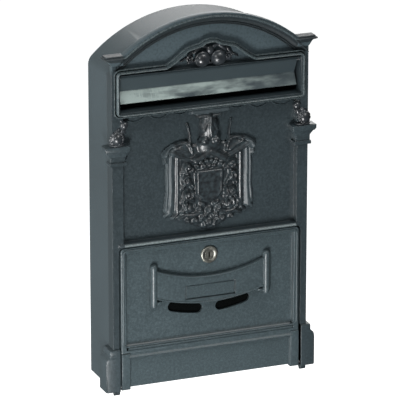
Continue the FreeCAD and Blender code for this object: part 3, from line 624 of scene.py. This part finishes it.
chain([(45, 197), (47.0, 191.5), (50, 189)], 3.4, 1.6, 3.8)
chain([(34, 197), (37, 189), (41.5, 185.5)], 3.0, 1.6, 3.8)
# quills beside the helm
chain([(19.5, 256), (22.0, 266), (22.8, 277), (25.0, 288)], 1.9, 1.1, 5.4)
# helm, with a ridge and two round cheek bosses, and its collar
dome(0, 281, 11.5, 17, 7.6)
dome(0, 263, 14.5, 13, 6.8)
chain([(0, 296), (1.2, 284), (0, 274)], 1.3, 1.5, 1.8, 7.0)
dome(7.0, 269.5, 5.0, 4.6, 4.0, 5.0)
chain([(3.4, 289), (8.0, 281)], 1.6, 1.6, 1.8, 5.6)
chain([(0, 256.5), (8, 252.5), (17, 248.0)], 3.4, 4.2, 3.6, 4.6)
# coronet
slab([(0, 293.5), (13, 293.5), (17, 299), (0, 299)], 4.6)
slab([(0, 299.4), (22.5, 299.4), (23.5, 302.5), (22.0, 306), (0, 306)], 7.0, 1.6)
chain([(0, 295.8), (12, 295.4)], 1.1, 1.1, 1.4, 4.4)
# beads between collar and shield
for x, z in ((2.6, 246.5), (8.0, 244.5), (13.6, 241.5), (0, 240.8), (5.6, 240.2)):
    dome(x, z, 2.7, 2.3, 3.0, 2.6)
# leaf scrolls each side of the shield
volute(24.8, 241.0, 5.6, 1, 200, 2.2, 4.6, 3.0)
volute(25.6, 226.0, 5.6, -1, 100, 2.1, 4.2, 2.6)
volute(25.0, 210.5, 5.8, 1, 160, 2.2, 4.8, 3.0)
volute(23.4, 196.0, 5.2, -1, 60, 2.0, 4.2, 2.4)
for x, z, turn in ((18.6, 236, 20), (30.6, 235, -30), (19.0, 219, 30), (31.0, 218, -24),
                   (19.2, 204, 40), (31.0, 203, -30)):
    leaf(x, z, turn, 5, 2.0, 1.2, 3.6, 2.4)
# plain shield with a raised edge
slab([(0, 200.5), (9, 204), (15.0, 210), (15.6, 236.4), (0, 236.4)], 5.0, 0.9)
chain([(0, 202.5), (8.6, 205.6), (13.6, 211), (13.9, 234.6), (0, 234.6)], 1.7, 1.7, 0.9, 4.7)
bar(0, 224.6, 13.0, 224.6, 1.5, 1.5, 1.0, 4.8)
# rosettes, a ribbon and leaves under the shield
chain([(9, 190), (18, 187), (28, 188), (36, 184)], 2.6, 2.0, 4.2, 1.6)
for x, z, size in ((0, 190.5, 4.6), (11.5, 193.5, 3.6), (15.5, 180.5, 3.6), (25.5, 180.8, 3.0),
                   (31.0, 192.5, 3.2), (0, 177.0, 4.0), (8.0, 184.5, 2.8)):
    dome(x, z, size, size, 4.4, 1.4)
    dome(x, z, size * 0.45, size * 0.45, 1.8, 5.0)
for x, z, turn in ((6.0, 197.0, 60), (19.0, 193.5, -40), (20.0, 185.0, 80), (9.5, 180.0, 110),
                   (5.0, 173.5, 20), (5.0, 183.0, -30), (26.5, 196.0, 30)):
    leaf(x, z, turn, 4.6, 2.4, 1.5, 3.4, 1.8)
# hammered surface of the fine casting
dents = 0.14 * np.sin(X * 1.9 + 3 * np.sin(Z * 0.7)) * np.sin(Z * 1.7 + 2 * np.sin(X * 0.9))
relief += np.where(relief > 0, dents, 0)
for vert, x, z, height in zip(crest.verts, X, Z, relief):
    vert.co = spot(x, BACK_Y - height * STRETCH, z)
bare = [face for face in crest.faces if all(v.co.y > FACE + BACK_Y * MM for v in face.verts)]
bmesh.ops.delete(crest, geom=bare, context="FACES")
for _ in range(PASSES):
    bmesh.ops.smooth_vert(crest, verts=crest.verts, factor=0.5, use_axis_y=True)
facing(crest)
make_piece(crest, "crest_cast", "casing", crest_paint, ["crest_relief"], 180)

# ------------------------------------------------------------ flap and its rod
# A bent plate that hangs on a steel rod across the slot and falls shut by its own weight.
# Its lower leaf leans out to the hand and is paler, partly rubbed by letters and fingers and partly a
# painted highlight of the light from above, fading toward the right end.
finish = Finish("flap_paint_rubbed_and_painted_highlight")
crease_z = FOOT + 331.5 * MM
lower = finish.band(finish.axis(2), crease_z + 0.5 * MM, crease_z - 0.8 * MM)
along = finish.axis(0)
streak = finish.noise(160, 4, (0.25, 1, 0.9))
blotch = finish.noise(28, 4, (0.7, 1, 1))
wear_and_highlight_fade = finish.band(along, 0.1, 0.02) * 0.66 + 0.34
rub_and_highlight = lower * wear_and_highlight_fade * (finish.band(streak, 0.4, 0.62) * 0.65 + finish.band(blotch, 0.36, 0.56) * 0.65)
scratches = finish.band(finish.noise(1.0, 1, (620, 300, 16), 48), 0.52, 0.66)
rub_and_highlight = rub_and_highlight + lower * finish.band(along, -0.04, -0.08) * scratches * 0.45
tone = finish.mix(rub_and_highlight, shade(SLATE, 1.1), (0.33, 0.40, 0.38, 1))
tone = finish.mix(finish.band(finish.noise(2600, 1), 0.6, 0.72) * 0.2, tone, shade(SLATE, 2.4))
rough = finish.band(streak, 0.3, 0.7) * 0.14 + 0.3
grain = finish.bump(finish.noise(1300, 2), 0.3, 0.0001, 0.0005)
flap_rub_and_highlight_paint = finish.set(Base_Color=tone, Roughness=rough, Normal=grain)
flap = copied("slot_flap")
make_piece(flap, "flap_plate", "flap", flap_rub_and_highlight_paint, ["slot_flap"], 30)


def metal(name, colour, roughness, grain=0.25):
    finish = Finish(name)
    cloud = finish.noise(220, 3)
    tone = finish.mix(finish.band(cloud, 0.3, 0.7), shade(colour, 0.82), shade(colour, 1.1))
    rough = finish.band(cloud, 0.3, 0.7) * 0.14 + (roughness - 0.06)
    normal = finish.bump(finish.noise(1800, 2), grain, 0.00006, 0.0002)
    return finish.set(Base_Color=tone, Roughness=rough, Normal=normal, Metallic=1.0)


zinc = metal("zinc_plated_steel", (0.50, 0.51, 0.52), 0.38)
for node in ("flap_rod", "surround_screws", "crest_rivets", "left_hinge_pin", "right_hinge_pin"):
    dress(node, zinc)

# ----------------------------------------------------------------------- door
# A cast door that drops down on two pins at its foot. It has a raised border, a sunk field
# with two curved windows, a moulding, and a plinth between two foot blocks.
# the door's coat is paler than the slate of the rest, the same paint: painted light on the lower front
door_painted_light_paint = powder_coat("door_paint_painted_light", (0.055, 0.076, 0.084))
door = copied("door_panel")
round_edges(door, 0, 1.1, 3, lambda x, z: z > 46 and x < 104)
round_edges(door, -2, 0.8, 3)
make_piece(door, "door_cast", "door", door_painted_light_paint, ["door_panel"])
border = bmesh.new()
corners = [(-100.6, 48.5), (-100.6, 157.6), (100.6, 157.6), (100.6, 48.5)]
sweep(border, rounded(corners, 5.0), half_round(0.9, 1.3, 0.2), True)
facing(border)
make_piece(border, "door_border", "door", door_painted_light_paint, ())

# moulding over the plinth, between the foot blocks
plinth_line = [(5.6, 52.5), (4.6, 50.0), (3.0, 48.2), (0.8, 47.2), (-0.6, 46.6), (-0.9, 45.8),
               (-0.6, 45.0), (0.5, 44.7), (0.8, 43.8), (0.2, 41.0), (-0.8, 38.8), (-1.4, 38.0),
               (-2.5, 37.6), (-2.9, 36.8), (-2.6, 36.0), (-1.2, 35.5), (-0.2, 34.6), (1.6, 33.2)]
PLINTH_X = 95.5
plinth = bmesh.new()
line = [plinth.verts.new(spot(-PLINTH_X, y, z)) for y, z in plinth_line]
rib = [plinth.edges.new(pair) for pair in zip(line, line[1:])]
run = bmesh.ops.extrude_edge_only(plinth, edges=rib)
far_end = [item for item in run["geom"] if isinstance(item, bmesh.types.BMVert)]
bmesh.ops.translate(plinth, verts=far_end, vec=(2 * PLINTH_X * MM, 0, 0))
facing(plinth)
make_piece(plinth, "plinth_moulding", "door", door_painted_light_paint, (), 50)

# ---------------------------------------------------------------- name banner
# A curved plaque with rolled ends, riveted to the door, and a blank name plate let into it.
banner = copied("name_banner")
proud = [vert for vert in banner.verts if abs(vert.co.y - (FACE + 1 * MM)) < 2e-5]
bmesh.ops.translate(banner, verts=proud, vec=(0, -1.2 * MM, 0))
round_edges(banner, -0.2, 0.8, 3, lambda x, z: x < 70 and not (x < 29.5 and 92 < z < 110))
ROLL_X, ROLL_Y, ROLL_R, ROLL_FOOT, ROLL_TOP = 65.2, 1.6, 3.9, 90.5, 134
for side in (-1, 1):
    for z, tall in ((ROLL_FOOT, 3.4), (ROLL_TOP, 3.6)):
        add_ball(banner, (side * ROLL_X, ROLL_Y, z), (ROLL_R, ROLL_R, tall), 0, 24)
    made = bmesh.ops.create_cone(banner, cap_ends=True, segments=32, radius1=ROLL_R * MM,
                                 radius2=ROLL_R * MM, depth=(ROLL_TOP - ROLL_FOOT) * MM)
    middle = (ROLL_TOP + ROLL_FOOT) / 2
    bmesh.ops.translate(banner, verts=made["verts"], vec=spot(side * ROLL_X, ROLL_Y, middle))
    add_ball(banner, (side * 59.5, 2.6, 92.6), (5.0, 2.6, 2.2), side * 16, 20)
make_piece(banner, "banner_cast", "door", door_painted_light_paint, ["name_banner"], 30)


def edge_arc(half, radius, ends_z):
    """Path along a curved edge of the banner, from left to right."""
    centre = ends_z + math.sqrt(radius ** 2 - half ** 2)
    turns = [math.asin(half / radius) * i / 20 for i in range(-20, 21)]
    return [(radius * math.sin(turn), centre - radius * math.cos(turn)) for turn in turns]


hem = bmesh.new()
sweep(hem, edge_arc(62, 164, 129.2), half_round(0.9, 1.3, 1.4, 6))
sweep(hem, edge_arc(62, 193, 98.6), half_round(0.9, 1.3, 1.4, 6))
facing(hem)
make_piece(hem, "banner_hem", "door", door_painted_light_paint, ())
card = copied("name_plate")
bmesh.ops.scale(card, verts=card.verts, vec=(27.9 / 28.8, 1, 1))
middle = spot(0, 0, 101).z
for vert in card.verts:
    vert.co.z = middle + (vert.co.z - middle) * 6.9 / 7.8
make_piece(card, "name_card", "door", door_painted_light_paint, ["name_plate"])
dress("banner_rivets", zinc)

# --------------------------------------------------------------- window strip
# A strip of clear plastic screwed behind the two windows keeps the rain out.
finish = Finish("strip_tinted_painted_shade")
# its colour is near black and half see-through: painted shade of the dark box behind it
clear = finish.set(Base_Color=(0.004, 0.005, 0.005, 1), Roughness=0.3, Alpha=0.5, Specular_IOR_Level=0.15)
dress("window_pane", clear)
dress("pane_screws", zinc)

# ----------------------------------------------------------------------- lock
# A nickel plated cam lock: a turned housing with a dished face, a nut behind the door, and a
# plug with a key slot that carries the arm on its square tail.
nickel = metal("nickel_plate", (0.36, 0.36, 0.32), 0.42)
housing = bmesh.new()
low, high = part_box("lock_housing")
lock_z = (low.z + high.z) / 2
lock_line = [(5.2, 4.6), (5.3, 3.6), (5.9, 3.2), (7.4, 3.0), (8.2, 2.9), (9.0, 3.1), (9.5, 3.6),
             (9.7, 4.4), (9.7, 5.5), (8.0, 5.5), (8.0, 20.0), (5.2, 20.0)]
line = [housing.verts.new((r * MM, FACE + y * MM, lock_z)) for r, y in lock_line]
rib = [housing.edges.new((a, b)) for a, b in zip(line, line[1:] + line[:1])]
bmesh.ops.spin(housing, geom=line + rib, cent=(0, FACE, lock_z), axis=(0, 1, 0),
               angle=math.radians(360), steps=64, use_merge=True)
bmesh.ops.remove_doubles(housing, verts=housing.verts, dist=1e-6)
bmesh.ops.recalc_face_normals(housing, faces=housing.faces)
make_piece(housing, "lock_housing_turned", "door", nickel, ["lock_housing"], 32)
dress("lock_plug", nickel)
for node in ("lock_nut", "lock_cam", "cam_washer", "cam_screw"):
    dress(node, zinc)

# ---------------------------------------------------------------------- stage
# Pale floor, soft studio light from above and the left, and the camera.
floor_bm = bmesh.new()
bmesh.ops.create_grid(floor_bm, x_segments=1, y_segments=1, size=8)
bmesh.ops.translate(floor_bm, verts=floor_bm.verts, vec=(0, 0, -0.75))
floor_mesh = bpy.data.meshes.new("floor")
floor_bm.to_mesh(floor_mesh)
floor_bm.free()
floor = bpy.data.objects.new("floor", floor_mesh)
bpy.context.scene.collection.objects.link(floor)
finish = Finish("pale_floor")
floor_mesh.materials.append(finish.set(Base_Color=(0.9, 0.9, 0.9, 1), Roughness=0.9,
                                       Emission_Color=(1, 1, 1, 1), Emission_Strength=0.75))
floor.visible_diffuse = False
floor.visible_glossy = False

world = bpy.data.worlds.new("studio")
bpy.context.scene.world = world
world.use_nodes = True
sky = world.node_tree
parts = sky.nodes.new("ShaderNodeSeparateXYZ")
sky.links.new(sky.nodes.new("ShaderNodeTexCoord").outputs["Generated"], parts.inputs[0])
total = None
for axis, low, high, share in (("Z", 0.0, 1.0, 0.38), ("X", 0.1, -0.9, 0.2), ("Y", 0.5, 0.98, 0.15)):
    ramp = sky.nodes.new("ShaderNodeMapRange")
    sky.links.new(parts.outputs[axis], ramp.inputs[0])
    for slot, value in zip((1, 2, 3, 4), (low, high, 0, share)):
        ramp.inputs[slot].default_value = value
    if total is None:
        total = ramp.outputs[0]
    else:
        summed = sky.nodes.new("ShaderNodeMath")
        sky.links.new(total, summed.inputs[0])
        sky.links.new(ramp.outputs[0], summed.inputs[1])
        total = summed.outputs[0]
dark_to_pale = sky.nodes.new("ShaderNodeMix")
dark_to_pale.data_type = "RGBA"
sky.links.new(total, dark_to_pale.inputs[0])
dark_to_pale.inputs[6].default_value = (0.07, 0.075, 0.08, 1)
dark_to_pale.inputs[7].default_value = (1.0, 1.03, 1.0, 1)
sky.links.new(dark_to_pale.outputs[2], sky.nodes["Background"].inputs["Color"])
sky.nodes["Background"].inputs["Strength"].default_value = 0.8


def softbox(name, place, size, power, target=(0, 0, 0)):
    lamp = bpy.data.lights.new(name, "AREA")
    lamp.shape = "RECTANGLE"
    lamp.size, lamp.size_y = size
    lamp.energy = power
    holder = bpy.data.objects.new(name, lamp)
    bpy.context.scene.collection.objects.link(holder)
    holder.location = place
    holder.visible_camera = False
    holder.rotation_euler = (Vector(target) - Vector(place)).to_track_quat("-Z", "Y").to_euler()


softbox("back_right", (0.7, 1.8, 0.9), (1.6, 0.8), 14)
softbox("left", (-1.7, 0.1, 0.1), (0.8, 1.2), 26)
softbox("top_front", (0.5, -0.75, 1.35), (0.7, 0.25), 7)
softbox("front_left", (-1.15, -1.1, 0.9), (0.35, 0.35), 5)
softbox("low_left", (-0.5, -0.95, -0.45), (0.3, 0.5), 13, (0, 0, -0.25))

# the camera looks down on the front from the left
AWAY, ASIDE, UPWARD = 3.92535, 0.011515, 0.192588
yaw, pitch = math.radians(21.855), math.radians(18.271)
ahead = Vector((math.sin(yaw) * math.cos(pitch), math.cos(yaw) * math.cos(pitch), -math.sin(pitch)))
across = Vector((math.cos(yaw), -math.sin(yaw), 0))
up = across.cross(ahead)
camera = bpy.data.objects.new("camera", bpy.data.cameras.new("camera"))
bpy.context.scene.collection.objects.link(camera)
bpy.context.scene.camera = camera
camera.data.sensor_width = 36
camera.data.lens = 325.5
camera.data.clip_start, camera.data.clip_end = 0.5, 40
camera.location = spot(0, 0, 0) - across * ASIDE + up * UPWARD - ahead * AWAY
camera.rotation_euler = Matrix((across, up, -ahead)).transposed().to_euler()
bpy.context.scene.view_settings.view_transform = "Standard"
